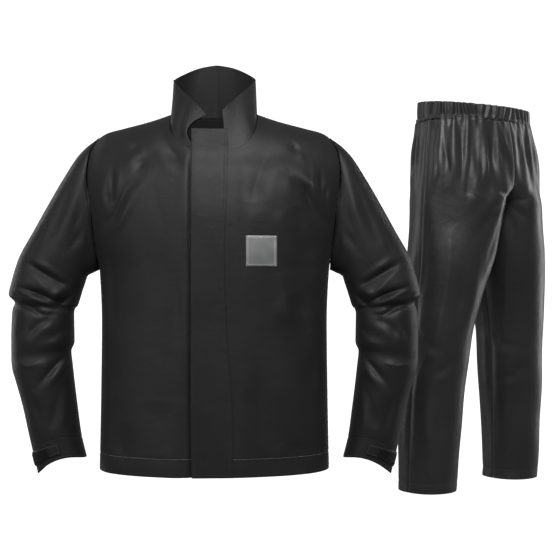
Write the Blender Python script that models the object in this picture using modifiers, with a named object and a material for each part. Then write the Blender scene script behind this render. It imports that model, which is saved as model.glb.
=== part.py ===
"""A two-piece rain suit, filled out as if worn: a stand-collar jacket and elastic-waist trousers.

Metres, +Z up. The origin is the middle of the jacket's neck opening, level with the side-neck points.
The jacket faces -Y. The trousers stand behind and beside it, turned a little to the side.
Right and left are the wearer's: the right half of the jacket is at -X.
"""

import math

import bpy
import numpy as np

# Cloth
CLOTH = 0.0012
CASING_WALL = 0.0024
SEAM = 0.0003

# Jacket
HEM_Z = -0.762
ARMPIT_Z = -0.335
SHOULDER_TIP_X = 0.250
SHOULDER_TIP_Z = -0.0508
SHOULDER_DROP = 0.200
SQUARENESS = 2.3
NECK_HALF_WIDTH = 0.094
NECK_FRONT_Z = -0.088
NECK_BACK_Z = 0.004
NECK_SQUARENESS = 2.8
NECK_SHARE = 0.38
NECK_STEPS = 8
ARMHOLE_STEPS = 9
FLAP_LEAN = 0.20
UNDERLAP_LEAN = 0.30
FLAP_TOP_Z = -0.030
UNDERLAP_TOP_Z = -0.017
UNDERLAP_FOOT_Z = -0.079
UNDERLAP_RIGHT_X = -0.052
UNDERLAP_LEFT_X = 0.036
COLLAR_END_FROM = 0.8
LABEL_LEFT_X = 0.072
LABEL_SIZE = 0.063
LABEL_TOP_Z = -0.267
LABEL_THICK = 0.0010
TAB_THICK = 0.0016
PATCH_THICK = 0.0012

# Trousers
TURN = math.radians(40)
TROUSERS_X = 0.625
TROUSERS_Y = 0.310
BAND_TOP_Z = 0.064
BAND_FOOT_Z = 0.020
BAND_DIP = 0.010
BAND_GATHERS = 12
BAND_GATHER_DEPTH = 0.0035
BAND_ROWS = np.array([1.0, 0.55, 0.0])
BAND_FOOT_GATHERS = 0.3
SHIN_ROW_Z = -0.560


def table(names, rows):
    """Named columns, from rows that give them in that order."""
    return dict(zip(names.split(), np.array(rows, dtype=float).T))


TORSO = table(
    "z half_width front back",
    [
        (-0.762, 0.2475, 0.150, 0.136),
        (-0.600, 0.2445, 0.146, 0.132),
        (-0.450, 0.2430, 0.143, 0.131),
        (-0.335, 0.2480, 0.141, 0.134),
        (-0.300, 0.2560, 0.140, 0.135),
        (-0.233, 0.2710, 0.137, 0.136),
        (-0.134, 0.2920, 0.120, 0.130),
        (-0.088, 0.2980, 0.104, 0.124),
        (0.000, 0.3000, 0.100, 0.112),
    ],
)

SHOULDER = table(
    "x z",
    [
        (0.000, 0.0300),
        (0.050, 0.0180),
        (0.094, 0.0000),
        (0.1395, -0.0154),
        (0.195, -0.0300),
        (0.231, -0.0397),
        (0.250, -0.0508),
        (0.272, -0.0660),
    ],
)

ARMHOLE = table(
    "z x",
    [
        (-0.335, 0.2480),
        (-0.300, 0.2515),
        (-0.233, 0.2600),
        (-0.205, 0.2620),
        (-0.172, 0.2670),
        (-0.134, 0.2710),
        (-0.092, 0.2680),
        (-0.069, 0.2600),
        (-0.0508, 0.2500),
    ],
)

# Rings of the sleeve, each between its outer and its inner edge. The lift moves its front and back.
SLEEVE = table(
    "outer_x outer_z inner_x inner_z depth lift_x lift_z",
    [
        (0.2502, -0.0508, 0.2480, -0.3350, 0.050, 0.020, 0.000),
        (0.2723, -0.0662, 0.2550, -0.3380, 0.057, 0.014, 0.000),
        (0.2945, -0.0883, 0.2630, -0.3420, 0.063, 0.009, 0.000),
        (0.3305, -0.1437, 0.2710, -0.3455, 0.067, 0.004, 0.000),
        (0.3609, -0.1962, 0.2770, -0.3500, 0.069, 0.000, 0.000),
        (0.3915, -0.2515, 0.2820, -0.3650, 0.070, 0.000, 0.000),
        (0.4247, -0.3125, 0.2870, -0.3800, 0.066, 0.000, 0.000),
        (0.4390, -0.3600, 0.2920, -0.3960, 0.073, 0.000, 0.000),
        (0.4455, -0.3884, 0.2980, -0.4140, 0.066, 0.000, 0.000),
        (0.4327, -0.4069, 0.3040, -0.4210, 0.057, 0.000, 0.000),
        (0.4375, -0.4234, 0.3060, -0.4330, 0.067, 0.000, 0.000),
        (0.4401, -0.4839, 0.3050, -0.4900, 0.069, 0.000, 0.000),
        (0.4401, -0.5250, 0.3118, -0.5126, 0.062, 0.000, 0.000),
        (0.4380, -0.5480, 0.3090, -0.5400, 0.066, 0.000, 0.000),
        (0.4312, -0.5731, 0.3038, -0.5859, 0.063, 0.000, 0.000),
        (0.4151, -0.6304, 0.2970, -0.6400, 0.059, 0.000, 0.000),
        (0.4008, -0.6972, 0.2900, -0.6920, 0.056, 0.000, 0.008),
        (0.3824, -0.7769, 0.2784, -0.7410, 0.052, 0.000, 0.018),
    ],
)

# From the centre back round to the front end: the rim, and how far the wall's middle is drawn back.
COLLAR_RIM = table(
    "turn x y z curl",
    [
        (0.00, 0.0000, 0.082, 0.123, 0.000),
        (0.14, 0.0300, 0.079, 0.117, 0.000),
        (0.28, 0.0645, 0.058, 0.101, 0.000),
        (0.42, 0.0880, 0.020, 0.0806, 0.000),
        (0.50, 0.0890, -0.008, 0.074, 0.000),
        (0.62, 0.0730, -0.034, 0.054, 0.000),
        (0.74, 0.0540, -0.054, 0.034, 0.000),
        (0.87, 0.0330, -0.070, 0.012, 0.040),
        (1.00, 0.0125, -0.078, -0.011, 0.086),
    ],
)
COLLAR_TIP = {"right": (0.0, 0.0), "left": (0.0075, 0.010)}
COLLAR_CURL = {"right": 1.0, "left": 0.0}

FLAP = table(
    "z right_edge left_edge",
    [
        (-0.764, -0.038, 0.047),
        (-0.600, -0.040, 0.043),
        (-0.500, -0.040, 0.034),
        (-0.300, -0.040, 0.027),
        (-0.150, -0.041, 0.032),
        (-0.030, -0.044, 0.032),
    ],
)

# A section's corners: under 1 makes them squarer
LEG_ROUNDNESS = 0.85

# Sections of the trousers. The fork is 0 where both legs share one section and 1 where they part. The
# skew moves a section's fullest place towards the inner edge.
LEG = table(
    "z side inner fork front back shift skew",
    [
        (0.020, 0.1660, 0.0000, 0.00, 0.105, 0.113, 0.009, 0.00),
        (-0.020, 0.1745, 0.0000, 0.02, 0.109, 0.119, 0.005, 0.00),
        (-0.060, 0.1815, 0.0000, 0.10, 0.112, 0.124, 0.002, 0.03),
        (-0.100, 0.1870, 0.0000, 0.30, 0.114, 0.127, 0.000, 0.12),
        (-0.135, 0.1915, 0.0000, 0.58, 0.115, 0.128, 0.000, 0.26),
        (-0.155, 0.1935, 0.0000, 0.84, 0.114, 0.128, 0.000, 0.36),
        (-0.168, 0.1950, 0.0004, 1.00, 0.114, 0.127, 0.000, 0.42),
        (-0.215, 0.1990, 0.0010, 1.00, 0.110, 0.121, 0.000, 0.36),
        (-0.286, 0.2040, 0.0080, 1.00, 0.103, 0.111, -0.002, 0.22),
        (-0.400, 0.2090, 0.0365, 1.00, 0.091, 0.096, 0.004, 0.06),
        (-0.492, 0.2140, 0.0580, 1.00, 0.083, 0.086, 0.009, 0.00),
        (-0.607, 0.2180, 0.0705, 1.00, 0.077, 0.079, 0.015, 0.00),
        (-0.722, 0.2200, 0.0800, 1.00, 0.073, 0.073, 0.020, 0.00),
        (-0.855, 0.2190, 0.0880, 1.00, 0.068, 0.068, 0.025, 0.00),
    ],
)

# How deep the long gathers under the waistband are at each height, and how unlike each other they are,
# from the side seam to the centre.
GATHER = table(
    "z depth",
    [
        (0.020, 0.0015),
        (-0.020, 0.0060),
        (-0.060, 0.0085),
        (-0.150, 0.0055),
        (-0.260, 0.0025),
        (-0.420, 0.0000),
        (-0.855, 0.0000),
    ],
)
GATHER_STRENGTH = {"front": (0.9, 0.6, 1.1, 0.8, 1.2, 0.5), "back": (0.7, 1.0, 0.8, 1.1, 0.7, 0.9)}

# Creases, as straight troughs in front view. On the torso, side is 1 for the left front only, -1 for the
# right front only and 0 for both.
TORSO_FOLDS = table(
    "x0 z0 x1 z1 width depth side",
    [
        (0.223, -0.221, 0.166, -0.133, 0.016, 0.0050, 0),
        (0.228, -0.120, 0.224, -0.190, 0.015, 0.0050, 0),
        (0.176, -0.205, 0.184, -0.300, 0.022, 0.0040, 1),
        (0.186, -0.430, 0.196, -0.400, 0.024, 0.0040, 1),
    ],
)
SLEEVE_FOLDS = table(
    "x0 z0 x1 z1 width depth",
    [
        (0.409, -0.321, 0.326, -0.373, 0.012, 0.0065),
        (0.433, -0.373, 0.326, -0.410, 0.012, 0.0080),
        (0.412, -0.417, 0.345, -0.436, 0.012, 0.0060),
        (0.384, -0.462, 0.380, -0.472, 0.016, 0.0040),
        (0.316, -0.510, 0.384, -0.588, 0.013, 0.0055),
    ],
)

# Rings between those of the table, where the elbow's creases need them
EXTRA_RINGS = (6.5, 10.5, 11.5, 14.5)

# The cuff tab's place on the sleeve, as ring numbers and turns, and the part of it under the patch
TAB_ROWS = np.array([16.42, 16.46, 16.61, 16.76, 16.80])
TAB_TURNS = np.linspace(0.10, 1.75, 12)
PATCH_TURNS = slice(1, 9)

# Points inside each hollow. The wall is built on their side.
IN_TORSO = np.array([0, 0, -0.400])
IN_SLEEVE = np.array([0.340, 0, -0.400])
IN_CUFF = np.array([0.340, 0, -0.740])
IN_COLLAR = np.array([0, 0, 0.020])
IN_LEG = np.array([0.120, 0, -0.400])

JACKET_CLOTH = ((0.024, 0.024, 0.025, 1.0), 0.55, 0.0)
TROUSER_CLOTH = ((0.034, 0.034, 0.036, 1.0), 0.38, 0.0)
HOOK_NYLON = ((0.006, 0.006, 0.006, 1.0), 0.90, 0.0)
LABEL_VINYL = ((0.240, 0.240, 0.240, 1.0), 0.25, 0.3)


def smooth(x, xs, ys):
    """A curve through the points, with no overshoot between them."""
    order = np.argsort(xs)
    xs, ys = xs[order], ys[order]
    step = np.diff(xs)
    rise = np.diff(ys) / step
    slope = np.concatenate([rise[:1], np.zeros(len(xs) - 2), rise[-1:]])
    same = rise[:-1] * rise[1:] > 0
    mean = 2 * rise[:-1] * rise[1:] / np.where(same, rise[:-1] + rise[1:], 1)
    slope[1:-1] = np.where(same, mean, 0)
    x = np.clip(x, xs[0], xs[-1])
    i = np.clip(np.searchsorted(xs, x) - 1, 0, len(step) - 1)
    t = (x - xs[i]) / step[i]
    ends = ys[i] * (1 + 2 * t) * (1 - t) ** 2 + ys[i + 1] * t**2 * (3 - 2 * t)
    return ends + step[i] * (slope[i] * t * (1 - t) ** 2 - slope[i + 1] * t**2 * (1 - t))


def read(columns, key, name, x):
    return smooth(x, columns[key], columns[name])


def ease(t):
    t = np.clip(t, 0, 1)
    return t * t * (3 - 2 * t)


def with_strips(stops, strip, first=True):
    """The stops, with a narrow strip beside the ends, so that the cloth leaves its seams straight."""
    extra = [1 - strip] + [strip] * first
    return np.unique(np.concatenate([stops, extra]))


def half_round(share, squareness):
    """A quarter of a rounded square, from the middle of its front (0) to its side (1)."""
    angle = share * math.pi / 2
    power = 2 / squareness
    return np.sin(angle) ** power, np.maximum(np.cos(angle), 0) ** power


def folds(table_of_folds, x, z, side=0):
    """How deep the creases are at a place in front view."""
    depth = 0 * (x + z)
    for x0, z0, x1, z1, width, deep, *only in zip(*table_of_folds.values()):
        if only and only[0] * side < 0:
            continue
        length = (x1 - x0) ** 2 + (z1 - z0) ** 2
        along = np.clip(((x - x0) * (x1 - x0) + (z - z0) * (z1 - z0)) / length, 0, 1)
        away = np.hypot(x - x0 - along * (x1 - x0), z - z0 - along * (z1 - z0))
        depth = depth + deep * np.exp(-((away / width) ** 2))
    return depth


# Torso


def torso_depth(x, z, face):
    """How far the torso's front or back lies from the plane of its side seams."""
    across = np.abs(x) / read(TORSO, "z", "half_width", z)
    side = np.maximum(0, 1 - across**SQUARENESS) ** (1 / SQUARENESS)
    below = np.clip((read(SHOULDER, "x", "z", np.abs(x)) - z) / SHOULDER_DROP, 0, 1)
    return read(TORSO, "z", face, z) * side * np.sqrt(1 - (1 - below) ** 3)


def front_y(x, z, lean):
    """The front's face. Above the neckline it leans back with the collar."""
    neck = np.minimum(z, NECK_FRONT_Z)
    return -torso_depth(x, neck, "front") - SEAM / 2 + lean * (z - neck)


def side_x(z):
    """The panel's outer edge: the side seam, and above the armpit the armhole."""
    seam = read(TORSO, "z", "half_width", z)
    return np.where(z <= ARMPIT_Z, seam, read(ARMHOLE, "z", "x", z))


def neckline(share, face):
    """The neckline in front view, from the centre (0) to the side-neck point (1)."""
    depth = {"front": NECK_FRONT_Z, "back": NECK_BACK_Z}[face]
    across, down = half_round(share, NECK_SQUARENESS)
    return NECK_HALF_WIDTH * across, depth * down


def torso_panel(u, v, face, half=0):
    """Half of the front or back: u runs from the centre to the side, v from the hem to the top."""
    u, v = np.meshgrid(u, v)
    neck_z = {"front": NECK_FRONT_Z, "back": NECK_BACK_Z}[face]
    centre = np.stack([0 * v, HEM_Z + v * (neck_z - HEM_Z)])
    side_z = HEM_Z + v * (SHOULDER_TIP_Z - HEM_Z)
    side = np.stack([side_x(side_z), side_z])
    hem_x = float(side_x(HEM_Z))
    hem = np.stack([hem_x * np.sin(u * math.pi / 2), 0 * u + HEM_Z])
    neck = np.stack(neckline(np.clip(u / NECK_SHARE, 0, 1), face))
    along = np.clip((u - NECK_SHARE) / (1 - NECK_SHARE), 0, 1)
    shoulder_x = NECK_HALF_WIDTH + along * (SHOULDER_TIP_X - NECK_HALF_WIDTH)
    shoulder = np.stack([shoulder_x, read(SHOULDER, "x", "z", shoulder_x)])
    top = np.where(u <= NECK_SHARE, neck, shoulder)
    corners = [(0, HEM_Z), (hem_x, HEM_Z), (0, neck_z), (SHOULDER_TIP_X, SHOULDER_TIP_Z)]
    weights = [(1 - u) * (1 - v), u * (1 - v), (1 - u) * v, u * v]
    middle = sum(w * np.array(c)[:, None, None] for w, c in zip(weights, corners))
    x, z = (1 - u) * centre + u * side + (1 - v) * hem + v * top - middle
    depth = torso_depth(x, z, face) + SEAM / 2
    if face == "front":
        depth = depth - folds(TORSO_FOLDS, x, z, half) * np.sin(math.pi * u)
    return np.stack([x, -depth if face == "front" else depth, z], axis=-1)


def armhole_z(theta):
    """The armhole's height, from the shoulder tip (0) to the armpit (pi)."""
    middle = (SHOULDER_TIP_Z + ARMPIT_Z) / 2
    return middle + (SHOULDER_TIP_Z - middle) * np.cos(theta)


def torso_stops():
    """Columns that meet the collar's, and rows that meet the sleeve's round the armhole."""
    neck = np.linspace(0, NECK_SHARE, NECK_STEPS + 1)
    shoulder = np.linspace(NECK_SHARE, 1, 8)
    u = with_strips(np.concatenate([neck, shoulder]), 0.012, first=False)
    side_seam = np.linspace(HEM_Z, ARMPIT_Z, 6)
    armhole = armhole_z(np.linspace(0, math.pi, ARMHOLE_STEPS + 1))
    side_z = np.concatenate([side_seam, armhole])
    v = np.unique(np.round((side_z - HEM_Z) / (SHOULDER_TIP_Z - HEM_Z), 6))
    return u, with_strips(v, 0.0001, first=False)


# Sleeve


def armhole_ring(theta):
    """The armhole, from the shoulder tip (0) down the front to the armpit (pi) and up the back."""
    z = armhole_z(theta)
    x = read(ARMHOLE, "z", "x", z)
    front = torso_depth(x, z, "front")
    back = torso_depth(x, z, "back")
    return np.stack([x + 1.5 * SEAM, np.where(np.sin(theta) >= 0, -front, back), z], axis=-1)


def sleeve_point(row, theta):
    """A point of the left sleeve: row counts down the rings, theta turns from the outer edge to the front."""
    rings = np.arange(len(SLEEVE["depth"]), dtype=float)
    ring = {name: smooth(row, rings, column) for name, column in SLEEVE.items()}
    across = (1 + np.cos(theta)) / 2
    bow = np.sin(theta) ** 2
    x = ring["inner_x"] + across * (ring["outer_x"] - ring["inner_x"]) + bow * ring["lift_x"]
    z = ring["inner_z"] + across * (ring["outer_z"] - ring["inner_z"]) + bow * ring["lift_z"]
    depth = ring["depth"] - folds(SLEEVE_FOLDS, x, z)
    oval = np.stack([x, -depth * np.sin(theta), z], axis=-1)
    start = ease(row)[..., None]
    return (1 - start) * armhole_ring(theta) + start * oval


def sleeve_patch(rows, thetas, lift):
    """A grid on the sleeve, moved out by lift."""
    row, theta = np.meshgrid(rows, thetas, indexing="ij")
    step = 0.02
    point = sleeve_point(row, theta)
    down = sleeve_point(row + step, theta) - sleeve_point(row - step, theta)
    round_it = sleeve_point(row, theta + step) - sleeve_point(row, theta - step)
    normal = np.cross(down, round_it)
    return point - lift * normal / np.linalg.norm(normal, axis=-1, keepdims=True)


# Trousers


def to_room(local):
    """Turns the trousers about Z and stands them in their place."""
    x, y, z = np.moveaxis(local, -1, 0)
    cos, sin = math.cos(TURN), math.sin(TURN)
    return np.stack([TROUSERS_X + x * cos - y * sin, TROUSERS_Y + x * sin + y * cos, z], axis=-1)


def gathered(share, strengths):
    """Waves that start and end on a ridge: 0 on the ridges, and the wave's own strength in its valley."""
    count = len(strengths)
    strength = np.array(strengths)[np.clip((share * count).astype(int), 0, count - 1)]
    return strength * (1 - np.cos(2 * math.pi * count * share)) / 2


def leg_point(share, z, face):
    """A point of the left leg's front or back: share runs from the side seam to the inner edge."""
    section = {name: read(LEG, "z", name, z) for name in LEG if name != "z"}
    radius = (section["side"] - section["inner"]) / (1 + section["fork"])
    middle = section["side"] - radius
    angle = share * np.arccos(np.clip(-section["fork"], -1, 1))
    gather = read(GATHER, "z", "depth", z) * gathered(share, GATHER_STRENGTH[face])
    x = middle + (radius - gather) * np.cos(angle)
    full = np.maximum(np.sin(angle), 0) ** LEG_ROUNDNESS * (1 - section["skew"] * np.cos(angle))
    y = (section[face] - gather) * full + SEAM / 2
    x = np.maximum(x, SEAM / 2)
    return np.stack([x, section["shift"] + (-y if face == "front" else y), z], axis=-1)


def leg_panel(face, sign):
    share = with_strips(np.linspace(0, 1, 2 * len(GATHER_STRENGTH[face]) + 1), 0.004)
    heights = np.append(LEG["z"], SHIN_ROW_Z)
    z, share = np.meshgrid(np.sort(heights)[::-1], share, indexing="ij")
    return to_room(leg_point(share, z, face) * (sign, 1, 1))


def waistband():
    """The gathered casing, all round, dipping a little at the front."""
    count = 4 * BAND_GATHERS
    turn, height = np.meshgrid(
        np.linspace(0, 2 * math.pi, 4 * count, endpoint=False),
        BAND_ROWS,
        indexing="xy",
    )
    names = ("side", "front", "back", "shift")
    side, front, back, shift = (float(read(LEG, "z", name, BAND_FOOT_Z)) for name in names)
    gather = BAND_GATHER_DEPTH * gathered(turn / (2 * math.pi), [1.0, 0.7, 0.9, 0.6] * BAND_GATHERS)
    gather = gather * (BAND_FOOT_GATHERS + (1 - BAND_FOOT_GATHERS) * ease(2 * height))
    x = (side - gather) * np.cos(turn)
    depth = np.where(np.sin(turn) < 0, front, back) - gather
    y = depth * np.sin(turn) + shift
    foot = BAND_FOOT_Z + SEAM
    z = foot + height * (BAND_TOP_Z - foot + BAND_DIP * np.sin(turn))
    return to_room(np.stack([x, y, z], axis=-1))


# Building


def start_scene():
    for obj in list(bpy.data.objects):
        bpy.data.objects.remove(obj, do_unlink=True)
    suit = bpy.data.collections.new("rain_suit")
    bpy.context.scene.collection.children.link(suit)
    return suit


def make_material(name, look):
    colour, roughness, metallic = look
    material = bpy.data.materials.new(name)
    material.use_nodes = True
    shader = material.node_tree.nodes["Principled BSDF"]
    shader.inputs["Base Color"].default_value = colour
    shader.inputs["Roughness"].default_value = roughness
    shader.inputs["Metallic"].default_value = metallic
    return material


def shell(suit, name, points, inside, look, thickness=CLOTH, wrap=False, mirror=False):
    """A cloth piece: a grid of points on its outer face, made into a wall on the side of the point inside."""
    rows, columns = points.shape[:2]
    last = columns if wrap else columns - 1
    quads = []
    for i in range(rows - 1):
        for j in range(last):
            k = (j + 1) % columns
            quads.append((i * columns + j, i * columns + k, (i + 1) * columns + k, (i + 1) * columns + j))
    flat = points.reshape(-1, 3)
    corners = flat[np.array(quads)]
    normals = np.cross(corners[:, 2] - corners[:, 0], corners[:, 3] - corners[:, 1])
    if (normals * (corners.mean(axis=1) - inside)).sum() < 0:
        quads = [quad[::-1] for quad in quads]
    mesh = bpy.data.meshes.new(name)
    mesh.from_pydata(flat.tolist(), [], quads)
    mesh.materials.append(make_material(name, look))
    mesh.shade_smooth()
    obj = bpy.data.objects.new(name, mesh)
    suit.objects.link(obj)
    if mirror:
        other_half = obj.modifiers.new("other_half", "MIRROR")
        other_half.merge_threshold = 0.0001
    wall = obj.modifiers.new("wall", "SOLIDIFY")
    wall.thickness = thickness
    wall.offset = -1
    return obj


def build_torso(suit):
    u, v = torso_stops()
    for name, sign in (("left", 1), ("right", -1)):
        front = torso_panel(u, v, "front", sign)
        front[:, 0, 0] = SEAM / 2
        shell(suit, "jacket_front_" + name, front * (sign, 1, 1), IN_TORSO, JACKET_CLOTH)
    shell(suit, "jacket_back", torso_panel(u, v, "back"), IN_TORSO, JACKET_CLOTH, mirror=True)


def build_sleeves(suit):
    rows = np.arange(len(SLEEVE["depth"]))
    rows = np.unique(np.concatenate([rows, EXTRA_RINGS, TAB_ROWS[[0, -1]]]))
    thetas = np.linspace(0, 2 * math.pi, 2 * ARMHOLE_STEPS, endpoint=False)
    row, theta = np.meshgrid(rows, thetas, indexing="ij")
    sleeve = sleeve_point(row, theta)
    for side, sign in (("left", 1), ("right", -1)):
        flip = (sign, 1, 1)
        shell(suit, "sleeve_" + side, sleeve * flip, IN_SLEEVE * flip, JACKET_CLOTH, wrap=True)


def build_cuff_tabs(suit):
    tab = sleeve_patch(TAB_ROWS, TAB_TURNS, SEAM + TAB_THICK)
    lift = 2 * SEAM + TAB_THICK + PATCH_THICK
    patch = sleeve_patch(TAB_ROWS[1:-1], TAB_TURNS[PATCH_TURNS], lift)
    for side, sign in (("left", 1), ("right", -1)):
        flip = (sign, 1, 1)
        inside = IN_CUFF * flip
        shell(suit, "cuff_tab_" + side, tab * flip, inside, JACKET_CLOTH, TAB_THICK)
        shell(suit, "hook_patch_" + side, patch * flip, inside, HOOK_NYLON, PATCH_THICK)


def collar_half(side, heights):
    """Half of the collar, from the centre back round to its front end, one step short of the centre."""
    share = np.arange(NECK_STEPS + 1) / NECK_STEPS
    behind, ahead = share, share[:0:-1][1:]
    back_x, back_z = neckline(behind, "back")
    front_x, front_z = neckline(ahead, "front")
    base_x = np.concatenate([back_x, front_x])
    base_z = np.concatenate([back_z, front_z])
    base_y = np.concatenate([torso_depth(back_x, back_z, "back"), -torso_depth(front_x, front_z, "front")])
    base = np.stack([base_x * (1 - 1.5 * SEAM / NECK_HALF_WIDTH), base_y, base_z + 1.2 * SEAM], axis=-1)
    turns = np.concatenate([behind / 2, 0.5 + (1 - ahead) / (2 - 2 * share[1])])
    rim = np.stack([read(COLLAR_RIM, "turn", name, turns) for name in ("x", "y", "z")], axis=-1)
    near_end = ease((turns - COLLAR_END_FROM) / (1 - COLLAR_END_FROM))
    tip_x, tip_z = COLLAR_TIP[side]
    rim += np.stack([tip_x * near_end, 0 * turns, tip_z * near_end], axis=-1)
    h = heights[:, None]
    wall = base * (1 - h[..., None]) + rim * h[..., None]
    wall[..., 0] += COLLAR_CURL[side] * read(COLLAR_RIM, "turn", "curl", turns) * (h - h**3)
    return wall


def build_collar(suit):
    heights = np.linspace(0, 1, 5)
    left = collar_half("left", heights)
    right = collar_half("right", heights) * (-1, 1, 1)
    whole = np.concatenate([right[:, :0:-1], left], axis=1)
    shell(suit, "collar", whole, IN_COLLAR, JACKET_CLOTH)


def on_front(x, z, lift, lean=FLAP_LEAN):
    """Points on the front's face, moved out by lift."""
    step = 0.001
    slope_x = (front_y(x + step, z, lean) - front_y(x - step, z, lean)) / (2 * step)
    slope_z = (front_y(x, z + step, lean) - front_y(x, z - step, lean)) / (2 * step)
    size = np.sqrt(1 + slope_x**2 + slope_z**2)
    face = np.stack([x, front_y(x, z, lean), z], axis=-1)
    return face + lift * np.stack([slope_x / size, -1 / size, slope_z / size], axis=-1)


def build_front_pieces(suit):
    rows = np.delete(torso_stops()[1], -2)
    z = np.append(HEM_Z + rows * (NECK_FRONT_Z - HEM_Z), FLAP_TOP_Z)
    across = np.linspace(0, 1, 5)
    right, left = read(FLAP, "z", "right_edge", z), read(FLAP, "z", "left_edge", z)
    x = right[:, None] + across * (left - right)[:, None]
    flap = on_front(x, z[:, None] + 0 * x, 2 * SEAM + CLOTH)
    shell(suit, "storm_flap", flap, IN_TORSO, JACKET_CLOTH)

    x = np.linspace(UNDERLAP_RIGHT_X, UNDERLAP_LEFT_X, 6)
    x, z = np.meshgrid(x, np.linspace(UNDERLAP_FOOT_Z, UNDERLAP_TOP_Z, 4))
    underlap = on_front(x, z, -SEAM - CLOTH, UNDERLAP_LEAN)
    shell(suit, "underlap", underlap, IN_TORSO, JACKET_CLOTH)

    x = np.linspace(LABEL_LEFT_X, LABEL_LEFT_X + LABEL_SIZE, 5)
    x, z = np.meshgrid(x, np.linspace(LABEL_TOP_Z - LABEL_SIZE, LABEL_TOP_Z, 4))
    label = on_front(x, z, 2 * SEAM + LABEL_THICK)
    shell(suit, "chest_label", label, IN_TORSO, LABEL_VINYL, LABEL_THICK)


def build_trousers(suit):
    middle = to_room(np.array([0, 0, 0]))
    shell(suit, "trouser_waistband", waistband(), middle, TROUSER_CLOTH, CASING_WALL, wrap=True)
    for side, sign in (("left", 1), ("right", -1)):
        inside = to_room(IN_LEG * (sign, 1, 1))
        for face in ("front", "back"):
            shell(suit, f"trouser_{face}_{side}", leg_panel(face, sign), inside, TROUSER_CLOTH)


def main():
    suit = start_scene()
    build_torso(suit)
    build_sleeves(suit)
    build_cuff_tabs(suit)
    build_collar(suit)
    build_front_pieces(suit)
    build_trousers(suit)


main()
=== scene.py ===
"""The rain suit's visual model: thin creased cloth on the frame's forms, with stitching, on a pale floor.

Metres, +Z up, as in the frame. Right and left are the wearer's: the jacket's right half is at -X.
"""

import math

import bpy
import numpy as np
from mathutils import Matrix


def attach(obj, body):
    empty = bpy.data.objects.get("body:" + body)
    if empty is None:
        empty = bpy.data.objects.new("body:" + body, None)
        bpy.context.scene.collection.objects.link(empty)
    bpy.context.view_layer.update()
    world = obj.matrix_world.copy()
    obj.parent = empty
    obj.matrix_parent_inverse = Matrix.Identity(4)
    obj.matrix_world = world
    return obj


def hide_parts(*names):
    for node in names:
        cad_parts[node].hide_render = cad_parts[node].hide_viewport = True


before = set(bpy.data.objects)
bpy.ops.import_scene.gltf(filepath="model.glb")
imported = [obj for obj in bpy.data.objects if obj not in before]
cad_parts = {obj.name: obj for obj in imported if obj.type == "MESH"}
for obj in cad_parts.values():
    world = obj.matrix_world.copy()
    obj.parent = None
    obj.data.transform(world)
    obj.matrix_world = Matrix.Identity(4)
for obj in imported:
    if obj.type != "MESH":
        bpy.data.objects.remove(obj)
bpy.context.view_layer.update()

SHELL = 0.0008
DOUBLE_SHELL = 0.0016

SEAM = 0.0003

# Jacket
HEM_Z = -0.762

ARMPIT_Z = -0.335
SHOULDER_TIP_X = 0.250
SHOULDER_TIP_Z = -0.0508
SHOULDER_DROP = 0.200
SQUARENESS = 2.3
NECK_HALF_WIDTH = 0.094
NECK_FRONT_Z = -0.088
NECK_BACK_Z = 0.004
NECK_SQUARENESS = 2.8
NECK_SHARE = 0.38
FLAP_LEAN = 0.20
UNDERLAP_LEAN = 0.30
FLAP_TOP_Z = -0.042
UNDERLAP_TOP_Z = -0.017
UNDERLAP_FOOT_Z = -0.079
UNDERLAP_RIGHT_X = -0.052
UNDERLAP_LEFT_X = 0.036
COLLAR_END_FROM = 0.8
LABEL_LEFT_X = 0.072
LABEL_SIZE = 0.063
LABEL_TOP_Z = -0.267
LABEL_THICK = 0.0010
TAB_THICK = 0.0016
PATCH_THICK = 0.0012

# Trousers
TURN = math.radians(40)

TROUSERS_X = 0.625
TROUSERS_Y = 0.310
BAND_TOP_Z = 0.064
BAND_FOOT_Z = 0.020
BAND_DIP = 0.010
BAND_GATHERS = 12
BAND_GATHER_DEPTH = 0.0035
BAND_FOOT_GATHERS = 0.3

# A section's corners: under 1 makes them squarer
LEG_ROUNDNESS = 0.85


def table(names, rows):
    """Named columns, from rows that give them in that order."""
    return dict(zip(names.split(), np.array(rows, dtype=float).T))


TORSO = table(
    "z half_width front back",
    [
        (-0.762, 0.2475, 0.150, 0.136),
        (-0.600, 0.2445, 0.146, 0.132),
        (-0.450, 0.2430, 0.143, 0.131),
        (-0.335, 0.2480, 0.141, 0.134),
        (-0.300, 0.2560, 0.140, 0.135),
        (-0.233, 0.2710, 0.136, 0.136),
        (-0.134, 0.2920, 0.117, 0.130),
        (-0.088, 0.2980, 0.104, 0.124),
        (0.000, 0.3000, 0.100, 0.112),
    ],
)

SHOULDER = table(
    "x z",
    [
        (0.000, 0.0300),
        (0.050, 0.0180),
        (0.094, 0.0000),
        (0.1395, -0.0154),
        (0.195, -0.0300),
        (0.231, -0.0397),
        (0.250, -0.0508),
        (0.272, -0.0660),
    ],
)

ARMHOLE = table(
    "z x",
    [
        (-0.335, 0.2480),
        (-0.300, 0.2515),
        (-0.233, 0.2600),
        (-0.205, 0.2620),
        (-0.172, 0.2670),
        (-0.134, 0.2710),
        (-0.092, 0.2680),
        (-0.069, 0.2600),
        (-0.0508, 0.2500),
    ],
)

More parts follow.
